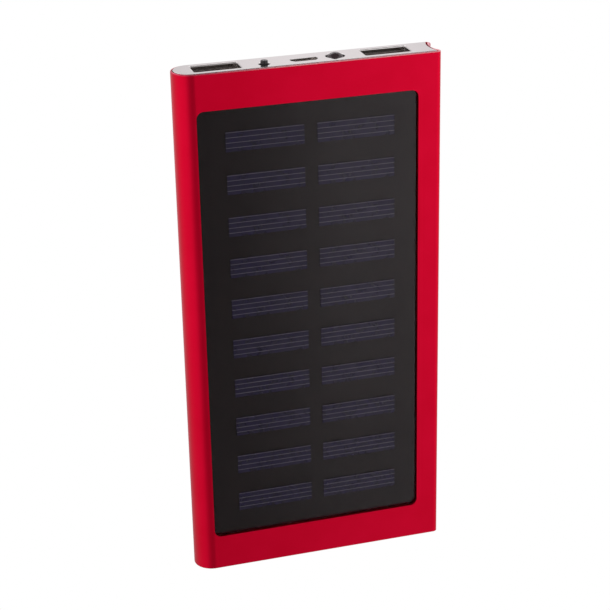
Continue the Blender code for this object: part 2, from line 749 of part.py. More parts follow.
def make_switch(electronics):
    """A push switch on its side: a body with a well, a snap disc at the well's floor, and a steel cover
    that keeps the button in. The button slides along Z."""
    body_floor = 141.6
    body_height = 4.0
    well_floor = 142.8
    well_diameter = 3.0
    body = block(5.0, 3.5, body_height, 0.1)
    body = piece("switch_body", body, "black_plastic", (BUTTON_X, BUTTON_Y, body_floor), electronics)
    well = rod(well_diameter, body_height, 28)
    combine(body, "DIFFERENCE", cutter("switch_well", well, (BUTTON_X, BUTTON_Y, well_floor)))

    cover_floor = body_floor + body_height + LAYER_GAP
    cover = block(5.0, 3.5, 0.25)
    cover = piece("switch_cover", cover, "spring_steel", (BUTTON_X, BUTTON_Y, cover_floor), electronics)
    hole = rod(BUTTON_DIAMETER + 0.3, 2, 28)
    combine(cover, "DIFFERENCE", cutter("switch_cover_hole", hole, (BUTTON_X, BUTTON_Y, cover_floor - 1)))

    disc_radius = 1.4
    disc_rise = 0.35
    disc_thickness = 0.1
    disc = turned(
        [(0, disc_rise - disc_thickness), (0.8, disc_rise * 0.55), (disc_radius, 0)]
        + [(disc_radius, disc_thickness), (0.85, disc_rise * 0.55 + disc_thickness), (0, disc_rise)],
        20,
    )
    disc_at = (BUTTON_X, BUTTON_Y, well_floor + LAYER_GAP)
    piece("switch_snap_disc", disc, "spring_steel", disc_at, electronics)

    plunger = assembly("button_slide", (BUTTON_X, BUTTON_Y, CAP_TOP_Z))
    flange_top = body_floor + body_height - LAYER_GAP - CAP_TOP_Z
    flange_floor = flange_top - 0.8
    nub_floor = well_floor + LAYER_GAP + disc_rise + BUTTON_TRAVEL + LAYER_GAP - CAP_TOP_Z
    stem = BUTTON_DIAMETER / 2
    flange = well_diameter / 2 - 0.15
    edge = 0.18
    nub_profile = [(0, nub_floor), (0.5, nub_floor), (0.6, flange_floor)]
    flange_profile = [(flange, flange_floor), (flange, flange_top), (stem, flange_top)]
    top_profile = [
        (stem, BUTTON_PROUD - edge),
        (stem - edge / 3, BUTTON_PROUD - edge / 3),
        (stem - edge, BUTTON_PROUD),
        (0, BUTTON_PROUD),
    ]
    button = turned(nub_profile + flange_profile + top_profile, 32)
    piece("power_button", button, "black_plastic", (BUTTON_X, BUTTON_Y, CAP_TOP_Z), plunger)


def make_lamp(electronics):
    """A 5 mm torch lamp: domed lens, flange and two legs that run down in front of the charging board."""
    radius = LAMP_DIAMETER / 2
    flange_radius = 2.9
    total = 8.6
    straight = total - radius
    dome = [
        (radius * math.cos(angle), straight + radius * math.sin(angle))
        for angle in (math.radians(15 * step) for step in range(6))
    ]
    profile = [(0, 0), (flange_radius, 0), (flange_radius, 1.0), (radius, 1.0), *dome, (0, total)]
    floor = CAP_TOP_Z + LAMP_PROUD - total
    lamp = piece("torch_led", turned(profile, 32), "clear_resin", (LAMP_X, LAMP_Y, floor), electronics)
    leg_length = 4.0
    for index, offset in enumerate((-1.27, 1.27)):
        leg = block(0.5, 0.5, leg_length + 0.5)
        leg_at = (LAMP_X + offset, LAMP_Y, floor - leg_length)
        combine(lamp, "UNION", cutter(f"lamp_leg_{index}", leg, leg_at))


clear_scene()
make_case()
make_top_cap()
make_bottom_cap()
make_solar_panel()
make_battery()
make_leads()
electronics_group = make_charging_board()
make_usb_sockets(electronics_group)
make_micro_socket(electronics_group)
make_switch(electronics_group)
make_lamp(electronics_group)
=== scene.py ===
"""Looks of the solar power bank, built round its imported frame: finer surfaces for what shows, and a
procedural material for every piece. Sizes are in millimetres until a mesh is made, in metres."""

import math

import bmesh
import bpy
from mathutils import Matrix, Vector


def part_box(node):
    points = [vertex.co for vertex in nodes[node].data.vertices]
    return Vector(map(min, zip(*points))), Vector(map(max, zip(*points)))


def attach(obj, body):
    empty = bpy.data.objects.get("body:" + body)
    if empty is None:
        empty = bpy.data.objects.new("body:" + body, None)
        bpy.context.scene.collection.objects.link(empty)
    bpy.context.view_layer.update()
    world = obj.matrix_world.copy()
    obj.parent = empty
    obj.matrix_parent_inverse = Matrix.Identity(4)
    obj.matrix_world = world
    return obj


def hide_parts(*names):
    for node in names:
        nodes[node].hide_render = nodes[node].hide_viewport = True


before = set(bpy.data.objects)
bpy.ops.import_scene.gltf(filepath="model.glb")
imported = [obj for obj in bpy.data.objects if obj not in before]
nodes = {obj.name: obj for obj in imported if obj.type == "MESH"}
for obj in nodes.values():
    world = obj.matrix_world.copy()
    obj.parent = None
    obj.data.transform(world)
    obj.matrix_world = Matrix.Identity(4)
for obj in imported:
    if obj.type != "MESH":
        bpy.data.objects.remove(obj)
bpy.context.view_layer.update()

MM = 0.001
CASE = "case"
BUTTON = "button"


def node_box(name):
    """Lowest and highest corner of a CAD node, in millimetres."""
    low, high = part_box(name)
    return low / MM, high / MM


def middle_of(name):
    low, high = node_box(name)
    return (low + high) / 2


# ------------------------------------------------------ sizes, from the frame or stated once

# The case, its ends and the seats for the caps. SEAT_GROOVE_RIM is the rim beside the groove.
# An end's rounding is cut bright where its normal's Z is more than BRIGHT_LEAN.
case_low, case_high = node_box("case_shell")
WIDTH = case_high.x - case_low.x
THICKNESS = case_high.y - case_low.y
HEIGHT = case_high.z - case_low.z
WALL = 1.0
END_ROUND = 0.28
BRIGHT_LEAN = 0.25
GROOVE_DEPTH = 1.3
LIP_RADIUS = 1.3
SEAT_RIM = 0.4
SEAT_GROOVE_RIM = 0.35
SEAT_GROOVE_RADIUS = 11.25
SEAT_CORNER = 0.4
SEAT_CLEARANCE = 0.1

# The panel: its window, the film in it, and the silver lines on each cell from its top edge down.
cover_low, cover_high = node_box("solar_cover")
cover_x = (cover_low.x + cover_high.x) / 2
cover_z = (cover_low.z + cover_high.z) / 2
WINDOW_RADIUS = 2.0
WINDOW_EDGE = 0.06
WINDOW_EDGE_ANGLE = 60
PANEL_GAP = 0.12
COVER_EDGE = 0.06
CELL_ROWS = 10
CELL_LINES = 4
CELL_FIRST_LINE = 0.22
CELL_LINE_PITCH = 1.46
CELL_LINE_WIDTH = 0.13
CELL_LINE_HEIGHT = 0.03

# The caps, with the bosses behind the top one that the charging board is screwed to.
CAP_TOP = node_box("top_end_cap")[1].z
CAP_PLATE = 1.2
CAP_DEPTH = 4.9
CAP_GAP = 0.25
CAP_GROOVE_GAP = 0.5
CAP_EDGE = 0.1
CAP_SKIRT_CORNER = 0.2
CAP_SKIRT_WALL = 0.85
CAP_POCKET_FLAT = 0.4
BOSS_WIDTH = 3.0
BOSS_DEPTH = 7.7
BOSS_OVERLAP = 0.5
BOSS_WALL_GAP = 0.5
BOSS_BOARD_GAP = 0.1
PILOT_HOLE = 1.5
PILOT_DEPTH = 3.7

# The sockets, the button and the lamp. A mouth is the rounding where an opening meets the plate's
# outer face. BUTTON_FLANGE_TOP is a height in the frame.
USB_OPENING = (13.0, 6.0)
USB_CORNER = 0.4
USB_MOUTH = 0.35
MICRO_MOUTH = 0.12
HOLE_MOUTH = 0.2
MICRO_SIZE = (7.4, 2.5)
MICRO_TAPER = 1.0
MICRO_CORNER = 0.35
MICRO_INNER_CORNER = 0.25
MICRO_CLEARANCE = 0.3
MICRO_WALL = 0.25
MICRO_ROLL_DEPTH = 0.08
MICRO_ROLL_WIDTH = 0.12
BUTTON_HOLE = 3.1
BUTTON_STEM_RADIUS = 1.0
BUTTON_ROUND = 0.22
BUTTON_DOME = 0.04
BUTTON_FOOT_RADIUS = 0.5
BUTTON_FOOT_EDGE = 0.08
BUTTON_FLANGE = 0.8
BUTTON_FLANGE_TOP = 145.55
BUTTON_FLANGE_EDGE = 0.1
LAMP_HOLE = 5.3
LAMP_RADIUS = 2.5
LAMP_LENGTH = 8.6
LAMP_FLANGE_RADIUS = 2.9
LAMP_FLANGE = 1.0
LAMP_EDGE = 0.05
LAMP_POST = 0.5
LAMP_POST_X = 1.27
LAMP_POST_BASE = 0.3
LAMP_CUP_HEIGHT = 4.2
LAMP_LEG_GAP = 0.05

# Edges sharper than this many degrees stay sharp in the shading.
SMOOTH_ANGLE = 35


# ------------------------------------------------------ mesh helpers


def arc(centre, radius, start, end, steps):
    """Points of an arc, ends included, angles in degrees."""
    points = []
    for step in range(steps + 1):
        angle = math.radians(start + (end - start) * step / steps)
        points.append((centre[0] + radius * math.cos(angle), centre[1] + radius * math.sin(angle)))
    return points


def quarter(steps=6):
    """Sines and cosines at even steps through a quarter turn, ends included."""
    turns = [math.radians(90 * step / steps) for step in range(steps + 1)]
    return [(math.sin(turn), math.cos(turn)) for turn in turns]


def rounded_rectangle(width, height, radius, steps):
    across = width / 2 - radius
    up = height / 2 - radius
    points = []
    corners = ((across, up), (-across, up), (-across, -up), (across, -up))
    for number, corner in enumerate(corners):
        points += arc(corner, radius, 90 * number, 90 * (number + 1), steps)
    return points


def grooved_outline(inset, groove_wall, groove_radius, corner):
    """Flat faces that lie inset from the case's own, a full-round left side, and a hollow right
    side whose deepest point is at groove_wall, with round corners."""
    half_thickness = THICKNESS / 2
    corner_y = half_thickness - inset - corner
    groove_x = groove_wall + groove_radius
    corner_x = groove_x - math.sqrt((groove_radius + corner) ** 2 - corner_y**2)
    meeting = math.degrees(math.atan2(corner_y, groove_x - corner_x))
    points = arc((half_thickness - WIDTH / 2, 0), half_thickness - inset, 90, 270, 72)
    points += arc((corner_x, -corner_y), corner, -90, meeting, 18)
    points += arc((groove_x, 0), groove_radius, 180 + meeting, 180 - meeting, 30)[1:-1]
    points += arc((corner_x, corner_y), corner, -meeting, 90, 18)
    return points


def case_outline(inset):
    """Cross-section of the case, moved inwards by inset."""
    lip_y = THICKNESS / 2 - LIP_RADIUS
    beyond = (lip_y**2 + LIP_RADIUS**2 - (GROOVE_DEPTH + LIP_RADIUS) ** 2) / (2 * GROOVE_DEPTH)
    groove_wall = WIDTH / 2 - GROOVE_DEPTH - inset
    return grooved_outline(inset, groove_wall, beyond + GROOVE_DEPTH + inset, LIP_RADIUS - inset)


def seat_outline(gap=0.0, groove_gap=0.0):
    """The seat for a cap's plate, moved inwards by gap, and by groove_gap beside the groove."""
    groove_wall = WIDTH / 2 - GROOVE_DEPTH - SEAT_GROOVE_RIM - groove_gap
    groove_radius = SEAT_GROOVE_RADIUS + groove_gap
    return grooved_outline(SEAT_RIM + gap, groove_wall, groove_radius, SEAT_CORNER - gap)


def skin(rings, closed=False):
    """Skins rings of (outline, height) with equal numbers of points."""
    shape = bmesh.new()
    loops = []
    for outline, height in rings:
        loops.append([shape.verts.new((x * MM, y * MM, height * MM)) for x, y in outline])
    pairs = list(zip(loops, loops[1:]))
    if closed:
        pairs.append((loops[-1], loops[0]))
    else:
        shape.faces.new(loops[0])
        shape.faces.new(loops[-1])
    for low, high in pairs:
        for index in range(len(low)):
            after = (index + 1) % len(low)
            shape.faces.new((low[index], low[after], high[after], high[index]))
    bmesh.ops.recalc_face_normals(shape, faces=shape.faces)
    return shape


def prism(outline, depth):
    return skin([(outline, 0), (outline, depth)])


def turned(profile, steps=64):
    """A solid turned about Z from (radius, height) points that start and end on the axis."""
    shape = bmesh.new()
    corners = [shape.verts.new((radius * MM, 0, height * MM)) for radius, height in profile]
    edges = [shape.edges.new(pair) for pair in zip(corners, corners[1:])]
    bmesh.ops.spin(
        shape,
        geom=corners + edges,
        cent=(0, 0, 0),
        axis=(0, 0, 1),
        angle=math.tau,
        steps=steps,
        use_merge=True,
    )
    bmesh.ops.remove_doubles(shape, verts=shape.verts, dist=0.0001 * MM)
    bmesh.ops.recalc_face_normals(shape, faces=shape.faces)
    return shape


def add_box(shape, at, size, material_index=0):
    """Adds a box to a mesh in the making."""
    for corner in bmesh.ops.create_cube(shape, size=1)["verts"]:
        corner.co = Vector([(a + s * c) * MM for a, s, c in zip(at, size, corner.co)])
        for face in corner.link_faces:
            face.material_index = material_index


def make_object(name, shape, materials, at=(0, 0, 0), facing_front=False, smooth=SMOOTH_ANGLE):
    """An object from a finished shape. One that faces the front has its Z along the frame's -Y."""
    mesh = bpy.data.meshes.new(name)
    shape.to_mesh(mesh)
    shape.free()
    if smooth:
        mesh.shade_smooth()
        mesh.set_sharp_from_angle(angle=math.radians(smooth))
    for made in materials:
        mesh.materials.append(made)
    obj = bpy.data.objects.new(name, mesh)
    bpy.context.collection.objects.link(obj)
    obj.location = Vector(at) * MM
    if facing_front:
        obj.rotation_euler = (math.radians(90), 0, 0)
    return obj


def combine(obj, operation, shape, at, facing_front):
    """Adds a shape to an object, or takes it away, and keeps only the result."""
    tool = make_object("tool", shape, [], at, facing_front, smooth=0)
    modifier = obj.modifiers.new("combine", "BOOLEAN")
    modifier.operation = operation
    modifier.object = tool
    apply_modifiers(obj)
    bpy.data.objects.remove(tool, do_unlink=True)


def cut(obj, shape, at, facing_front=False):
    combine(obj, "DIFFERENCE", shape, at, facing_front)


def join(obj, shape, at, facing_front=False):
    combine(obj, "UNION", shape, at, facing_front)


def apply_modifiers(obj):
    bpy.context.view_layer.update()
    graph = bpy.context.evaluated_depsgraph_get()
    mesh = bpy.data.meshes.new_from_object(obj.evaluated_get(graph))
    obj.modifiers.clear()
    obj.data = mesh


def soften(obj, width, angle):
    """A small bevel on the edges that are sharper than an angle, applied."""
    modifier = obj.modifiers.new("soften", "BEVEL")
    modifier.width = width * MM
    modifier.segments = 2
    modifier.limit_method = "ANGLE"
    modifier.angle_limit = math.radians(angle)
    apply_modifiers(obj)
    even_shading(obj)


def even_shading(obj):
    """Smooth shading that keeps every flat face flat."""
    obj.data.shade_smooth()
    obj.data.set_sharp_from_angle(angle=math.radians(SMOOTH_ANGLE))
    modifier = obj.modifiers.new("even_shading", "WEIGHTED_NORMAL")
    modifier.weight = 100
    modifier.keep_sharp = True
    apply_modifiers(obj)


def stands_for(obj, body, slot, *replaced):
    """Puts a piece on its body and in the place of any CAD nodes named. The slot is not used."""
    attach(obj, body)
    if replaced:
        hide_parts(*replaced)


# ------------------------------------------------------ material helpers


class Nodes:
    """Short ways to add nodes to a tree. An input takes a number, a colour or a node's output."""

    def __init__(self, tree):
        self.tree = tree

    def node(self, kind, **settings):
        made = self.tree.nodes.new(kind)
        for name, value in settings.items():
            setattr(made, name, value)
        return made

    def feed(self, socket, source):
        if isinstance(source, (int, float)):
            socket.default_value = source
        elif isinstance(source, tuple):
            socket.default_value = (*source, 1)
        else:
            self.tree.links.new(source, socket)

    def maths(self, operation, first, second=0.0):
        made = self.node("ShaderNodeMath", operation=operation)
        self.feed(made.inputs[0], first)
        self.feed(made.inputs[1], second)
        return made.outputs[0]

    def spread(self, source, low, high, start=0.3, end=0.7, interpolation="LINEAR"):
        """A number between low and high as the source runs from start to end."""
        made = self.node("ShaderNodeMapRange", interpolation_type=interpolation)
        limits = {"From Min": start, "From Max": end, "To Min": low, "To Max": high}
        for name, value in limits.items():
            made.inputs[name].default_value = value
        self.feed(made.inputs["Value"], source)
        return made.outputs["Result"]

    def step(self, source, start, end, high=1.0):
        """A smooth step from 0 to high as the source runs from start to end."""
        return self.spread(source, 0.0, high, start, end, "SMOOTHSTEP")

    def blend(self, factor, first, second, blend_type="MIX"):
        """The first colour at factor 0, and the second at factor 1."""
        made = self.node("ShaderNodeMix", data_type="RGBA", blend_type=blend_type)
        self.feed(made.inputs["Factor"], factor)
        first_input, second_input = [socket for socket in made.inputs if socket.type == "RGBA"]
        self.feed(first_input, first)
        self.feed(second_input, second)
        return [socket for socket in made.outputs if socket.type == "RGBA"][0]

    def only_for_camera(self, shown, otherwise):
        """One shader for what the camera sees directly, and another for all other light."""
        made = self.node("ShaderNodeMixShader")
        self.feed(made.inputs[0], self.node("ShaderNodeLightPath").outputs["Is Camera Ray"])
        self.feed(made.inputs[1], otherwise)
        self.feed(made.inputs[2], shown)
        return made.outputs[0]


class Finish(Nodes):
    """A Principled material and the nodes that feed it. Its noise is in object space."""

    def __init__(self, name, colour, roughness, metallic=0.0, **settings):
        self.material = bpy.data.materials.new(name)
        self.material.use_nodes = True
        super().__init__(self.material.node_tree)
        self.shader = self.tree.nodes["Principled BSDF"]
        self.shader.inputs["Base Color"].default_value = (*colour, 1)
        self.shader.inputs["Roughness"].default_value = roughness
        self.shader.inputs["Metallic"].default_value = metallic
        for socket, value in settings.items():
            self.shader.inputs[socket.replace("_", " ")].default_value = value
        self.coordinates = self.node("ShaderNodeTexCoord").outputs["Object"]
        self.material.diffuse_color = (*colour, 1)

    def noise(self, size, detail=3.0, stretch=(1, 1, 1)):
        """Noise whose blotches are about size mm across, longer along an axis stretched below 1."""
        mapping = self.node("ShaderNodeMapping")
        mapping.inputs["Scale"].default_value = stretch
        self.feed(mapping.inputs["Vector"], self.coordinates)
        texture = self.node("ShaderNodeTexNoise")
        texture.inputs["Scale"].default_value = 1 / (size * MM)
        texture.inputs["Detail"].default_value = detail
        self.feed(texture.inputs["Vector"], mapping.outputs["Vector"])
        return texture.outputs["Fac"]

    def colours(self, source, first, second, spread=True):
        """Colours the piece from first to second by the source, over a noise's range if spread."""
        factor = self.spread(source, 0, 1) if spread else source
        self.feed(self.shader.inputs["Base Color"], self.blend(factor, first, second))

    def roughness(self, source, low, high):
        """Makes the piece's roughness run from low to high with the source."""
        self.feed(self.shader.inputs["Roughness"], self.spread(source, low, high))

    def bump(self, height, depth, strength):
        """Relief of depth mm from a height that runs from 0 to 1."""
        made = self.node("ShaderNodeBump")
        made.inputs["Distance"].default_value = depth * MM
        made.inputs["Strength"].default_value = strength
        self.feed(made.inputs["Height"], height)
        self.feed(self.shader.inputs["Normal"], made.outputs["Normal"])


# How strongly the clear film, and the board and cells bonded to it, bend and mirror light.
FACE_IOR = 1.0
GLOSS_IOR = 1.42


def red_anodised():
    """Fine bead-blasted grain under a deep red anodised layer."""
    coat = {"Coat_Weight": 0.05, "Coat_Roughness": 0.15}
    made = Finish("red_anodised", (0.75, 0.0008, 0.03), 0.34, 1.0, **coat)
    grain = made.noise(0.12, 4.0)
    made.colours(made.noise(9.0, 2.0), (0.73, 0.0006, 0.028), (0.77, 0.0012, 0.033))
    made.roughness(grain, 0.29, 0.40)
    made.bump(grain, 0.0025, 0.6)
    return made.material


def bright_cut():
    """The rim of the case's ends, cut bright after anodising. Towards the round side, from x = -8 mm
    to x = -30 mm, its colour runs to a deeper red.
    """
    made = Finish("bright_cut", (0.86, 0.36, 0.40), 0.22, 1.0)
    lines = made.noise(0.3, 2.0, (1, 1, 0.1))
    bright = made.blend(made.spread(lines, 0, 1), (0.90, 0.40, 0.44), (0.82, 0.30, 0.35))
    place = made.node("ShaderNodeSeparateXYZ")
    made.feed(place.inputs[0], made.coordinates)
    round_side = made.spread(place.outputs["X"], 1.0, 0.0, -30 * MM, -8 * MM)
    made.colours(round_side, bright, (0.66, 0.06, 0.12), spread=False)
    made.roughness(lines, 0.16, 0.30)
    return made.material


def bright_plating():
    """Mirror-bright plating with faint polishing haze."""
    made = Finish("bright_plating", (0.70, 0.70, 0.69), 0.06, 1.0)
    ripple = made.noise(4.0, 2.0)
    made.colours(ripple, (0.71, 0.71, 0.70), (0.69, 0.69, 0.68))
    made.roughness(made.noise(0.5), 0.04, 0.10)
    made.bump(ripple, 0.0008, 0.3)
    return made.material


def clear_face():
    """A film that bends and mirrors no light. The panel's gloss is that of the board and cells."""
    made = Finish("clear_face", (1.0, 1.0, 1.0), 0.0, Transmission_Weight=1.0, IOR=FACE_IOR)
    made.colours(made.noise(14.0), (1.0, 1.0, 1.0), (0.985, 0.985, 0.99))
    return made.material


def black_resin():
    """The board's black resin, with the gloss of the film bonded to it."""
    made = Finish("black_resin", (0.006, 0.005, 0.005), 0.03, IOR=GLOSS_IOR)
    made.colours(made.noise(20.0), (0.0027, 0.0012, 0.0012), (0.0038, 0.0018, 0.0017))
    made.roughness(made.noise(14.0), 0.02, 0.06)
    return made.material


def silicon():
    """Blue-black silicon in flakes, with the gloss of the film bonded to it."""
    made = Finish("silicon", (0.012, 0.011, 0.03), 0.03, IOR=GLOSS_IOR)
    made.colours(made.noise(2.5), (0.0062, 0.0048, 0.018), (0.0088, 0.0066, 0.0235))
    made.roughness(made.noise(14.0), 0.02, 0.06)
    return made.material


def silver_print():
    """Printed silver paste, with the gloss of the film bonded to it as a coat."""
    gloss = {"Coat_Weight": 1.0, "Coat_IOR": GLOSS_IOR, "Coat_Roughness": 0.04}
    made = Finish("silver_print", (0.16, 0.15, 0.18), 0.5, 0.3, **gloss)
    made.colours(made.noise(0.2), (0.066, 0.062, 0.075), (0.084, 0.079, 0.092))
    made.roughness(made.noise(0.15), 0.4, 0.6)
    return made.material


def nickel():
    """Nickel plate with drawing lines along the socket."""
    made = Finish("nickel", (0.48, 0.43, 0.40), 0.38, 1.0)
    lines = made.noise(1.0, stretch=(1, 1, 0.15))
    made.colours(lines, (0.50, 0.45, 0.42), (0.43, 0.38, 0.35))
    made.roughness(lines, 0.33, 0.46)
    made.bump(lines, 0.001, 0.3)
    return made.material


def moulded_black(name, roughness):
    """Black moulding with a fine grain."""
    made = Finish(name, (0.018, 0.016, 0.016), roughness)
    grain = made.noise(0.15)
    made.colours(grain, (0.016, 0.014, 0.014), (0.024, 0.021, 0.021))
    made.roughness(grain, roughness - 0.06, roughness + 0.08)
    made.bump(grain, 0.004, 0.4)
    return made.material


def gold_flash():
    made = Finish("gold_flash", (0.83, 0.58, 0.24), 0.25, 1.0)
    grain = made.noise(0.1, stretch=(1, 1, 0.2))
    made.colours(grain, (0.85, 0.60, 0.26), (0.74, 0.50, 0.19))
    made.roughness(grain, 0.18, 0.34)
    return made.material


def brushed(name, light, dark, low, high):
    """Metal with fine lines, whose roughness runs from low to high."""
    made = Finish(name, light, (low + high) / 2, 1.0)
    lines = made.noise(0.08, stretch=(1, 1, 0.1))
    made.colours(lines, light, dark)
    made.roughness(lines, low, high)
    made.bump(lines, 0.002, 0.4)
    return made.material


def solder_mask():
    """Green board: copper tracks show as a lighter green under the mask."""
    made = Finish("solder_mask", (0.012, 0.10, 0.045), 0.35)
    brick = made.node("ShaderNodeTexVoronoi", feature="DISTANCE_TO_EDGE", distance="MANHATTAN")
    brick.inputs["Scale"].default_value = 1 / (2.4 * MM)
    made.feed(brick.inputs["Vector"], made.coordinates)
    track = made.spread(brick.outputs["Distance"], 0, 1, 0.10, 0.13)
    made.colours(track, (0.030, 0.19, 0.085), (0.010, 0.088, 0.040), spread=False)
    made.roughness(made.noise(0.5), 0.25, 0.45)
    made.bump(track, 0.02, 0.5)
    return made.material


def foam():
    """Grey foam with open cells."""
    made = Finish("foam", (0.09, 0.09, 0.095), 0.9)
    cell = made.node("ShaderNodeTexVoronoi")
    cell.inputs["Scale"].default_value = 1 / (0.35 * MM)
    made.feed(cell.inputs["Vector"], made.coordinates)
    made.colours(cell.outputs["Distance"], (0.05, 0.05, 0.052), (0.13, 0.13, 0.135), spread=False)
    made.roughness(made.noise(0.5), 0.85, 0.98)
    made.bump(cell.outputs["Distance"], 0.15, 0.8)
    return made.material


def pouch_foil():
    """Creased aluminium foil."""
    made = Finish("pouch_foil", (0.62, 0.63, 0.65), 0.3, 0.9)
    crease = made.noise(7.0, 5.0)
    made.colours(crease, (0.66, 0.67, 0.69), (0.56, 0.57, 0.60))
    made.roughness(made.noise(0.4, 2.0), 0.24, 0.42)
    made.bump(crease, 0.12, 0.5)
    return made.material


def fine_grained(name, light, dark):
    """A smooth moulded or dipped surface: wire insulation, ferrite, component cases."""
    made = Finish(name, light, 0.45)
    grain = made.noise(0.4)
    made.colours(grain, light, dark)
    made.roughness(grain, 0.38, 0.55)
    made.bump(grain, 0.01, 0.3)
    return made.material


def clear_resin():
    """The lamp's resin, dark and a little purple because little light comes back out of it."""
    made = Finish("clear_resin", (0.10, 0.06, 0.075), 0.05, Transmission_Weight=0.55, IOR=1.6)
    cloud = made.noise(1.5)
    made.colours(cloud, (0.11, 0.065, 0.08), (0.08, 0.05, 0.06))
    made.roughness(cloud, 0.03, 0.09)
    return made.material


RED = red_anodised()
BRIGHT = bright_cut()
CHROME = bright_plating()
CLEAR_FACE = clear_face()
RESIN = black_resin()
SILICON = silicon()
SILVER = silver_print()
NICKEL = nickel()
BLACK = moulded_black("black_moulding", 0.4)
BUTTON_BLACK = moulded_black("button_moulding", 0.28)
GOLD = gold_flash()
STEEL = brushed("spring_steel", (0.62, 0.62, 0.62), (0.5, 0.5, 0.5), 0.22, 0.36)
ZINC = brushed("zinc_plate", (0.60, 0.61, 0.63), (0.48, 0.5, 0.52), 0.28, 0.45)
TAB_NICKEL = brushed("tab_nickel", (0.62, 0.59, 0.54), (0.52, 0.49, 0.45), 0.25, 0.4)
MASK = solder_mask()
FOAM = foam()
FOIL = pouch_foil()
RED_WIRE = fine_grained("red_insulation", (0.50, 0.012, 0.010), (0.40, 0.008, 0.008))
BLACK_WIRE = fine_grained("black_insulation", (0.018, 0.018, 0.018), (0.010, 0.010, 0.010))
FERRITE = fine_grained("ferrite", (0.055, 0.055, 0.058), (0.035, 0.035, 0.038))
TANTALUM = fine_grained("tantalum_case", (0.70, 0.40, 0.06), (0.60, 0.33, 0.04))
LENS = clear_resin()
PHOSPHOR = fine_grained("phosphor", (0.72, 0.55, 0.10), (0.60, 0.46, 0.08))


# ------------------------------------------------------ finishes of the CAD nodes


def finish_of(name):
    """The finish of a CAD node, by the start or the end of its name."""
    by_start = (
        ("solar_board", RESIN),
        ("solar_cell", SILICON),
        ("solar_cover", CLEAR_FACE),
        ("panel_adhesive_pad", FOAM),
        ("battery_foam_pad", FOAM),
        ("charging_board", MASK),
        ("battery_protection_board", MASK),
        ("battery_cell", FOIL),
        ("battery_tab", TAB_NICKEL),
        ("battery_lead_red", RED_WIRE),
        ("battery_lead_black", BLACK_WIRE),
        ("solar_lead_red", RED_WIRE),
        ("solar_lead_black", BLACK_WIRE),
        ("board_screw", ZINC),
        ("switch_body", BLACK),
        ("switch_", STEEL),
        ("power_button", BUTTON_BLACK),
        ("torch_led", LENS),
        ("case_shell", RED),
        ("top_end_cap", CHROME),
        ("bottom_end_cap", CHROME),
        ("charge_controller_chip", BLACK),
        ("boost_inductor", FERRITE),
        ("output_capacitor", TANTALUM),
    )
    for start, made in by_start:
        if name.startswith(start):
            return made
    if name.endswith("_shell"):
        return NICKEL
    if name.endswith("_insulator"):
        return BLACK
    return GOLD


for node_name, node in nodes.items():
    node.data.materials.clear()
    node.data.materials.append(finish_of(node_name))
    node.data.shade_smooth()
    node.data.set_sharp_from_angle(angle=math.radians(SMOOTH_ANGLE))


# ------------------------------------------------------ case and end caps


def make_case():
    """The extrusion, with rounded ends cut bright, seats for both caps and a bevelled window."""
    seat = seat_outline()
    inside = case_outline(WALL)
    low_seat = CAP_PLATE + SEAT_CLEARANCE
    high_seat = CAP_TOP - CAP_PLATE - SEAT_CLEARANCE
    rings = []
    for sine, cosine in quarter():
        rings.append((case_outline(END_ROUND * (1 - sine)), END_ROUND * (1 - cosine)))
    rings += [(outline, HEIGHT - z) for outline, z in reversed(rings)]
    rings += [
        (seat, HEIGHT),
        (seat, high_seat),
        (inside, high_seat),
        (inside, low_seat),
        (seat, low_seat),
        (seat, 0),
    ]
    case = make_object("case_extrusion", skin(rings, closed=True), [RED, BRIGHT])
    width = cover_high.x - cover_low.x + 2 * PANEL_GAP
    height = cover_high.z - cover_low.z + 2 * PANEL_GAP
    cut_before = 1
    cut_behind = 2
    window = prism(rounded_rectangle(width, height, WINDOW_RADIUS, 12), cut_before + cut_behind)
    cut(case, window, (cover_x, case_low.y + cut_behind, cover_z), facing_front=True)
    soften(case, WINDOW_EDGE, WINDOW_EDGE_ANGLE)
    for face in case.data.polygons:
        z = face.center.z / MM
        if min(z, HEIGHT - z) < END_ROUND and abs(face.normal.z) > BRIGHT_LEAN:
            face.material_index = 1
    stands_for(case, CASE, "case", "case_shell")


def cap_blank():
    """A cap with its outer face up, at height 0: a plate with a rounded edge, and a skirt."""
    inset = WALL + CAP_GAP
    groove_wall = WIDTH / 2 - GROOVE_DEPTH - inset
    skirt = grooved_outline(inset, groove_wall, SEAT_GROOVE_RADIUS + inset, CAP_SKIRT_CORNER)
    plate = seat_outline(CAP_GAP, CAP_GROOVE_GAP)
    rings = [(skirt, -CAP_DEPTH), (skirt, -CAP_PLATE), (plate, -CAP_PLATE)]
    for sine, cosine in quarter():
        inwards = CAP_EDGE * (1 - cosine)
        outline = seat_outline(CAP_GAP + inwards, CAP_GROOVE_GAP + inwards)
        rings.append((outline, CAP_EDGE * (sine - 1)))
    return skin(rings)


def skirt_pocket():
    """The hollow inside a skirt, which leaves a wall beside the groove."""
    left = WALL + CAP_GAP + GROOVE_DEPTH - WIDTH / 2
    right = -left - CAP_SKIRT_WALL
    across = THICKNESS - 2 * (WALL + CAP_GAP + CAP_SKIRT_WALL)
    outline = rounded_rectangle(right - left, across, across / 2 - CAP_POCKET_FLAT, 12)
    return prism([(x + (left + right) / 2, y) for x, y in outline], CAP_DEPTH - CAP_PLATE + 1)


def circle(diameter, steps):
    return arc((0, 0), diameter / 2, 0, 360, steps)[:-1]


def block(width, depth, height):
    x = width / 2
    y = depth / 2
    return prism([(x, y), (-x, y), (-x, -y), (x, -y)], height)


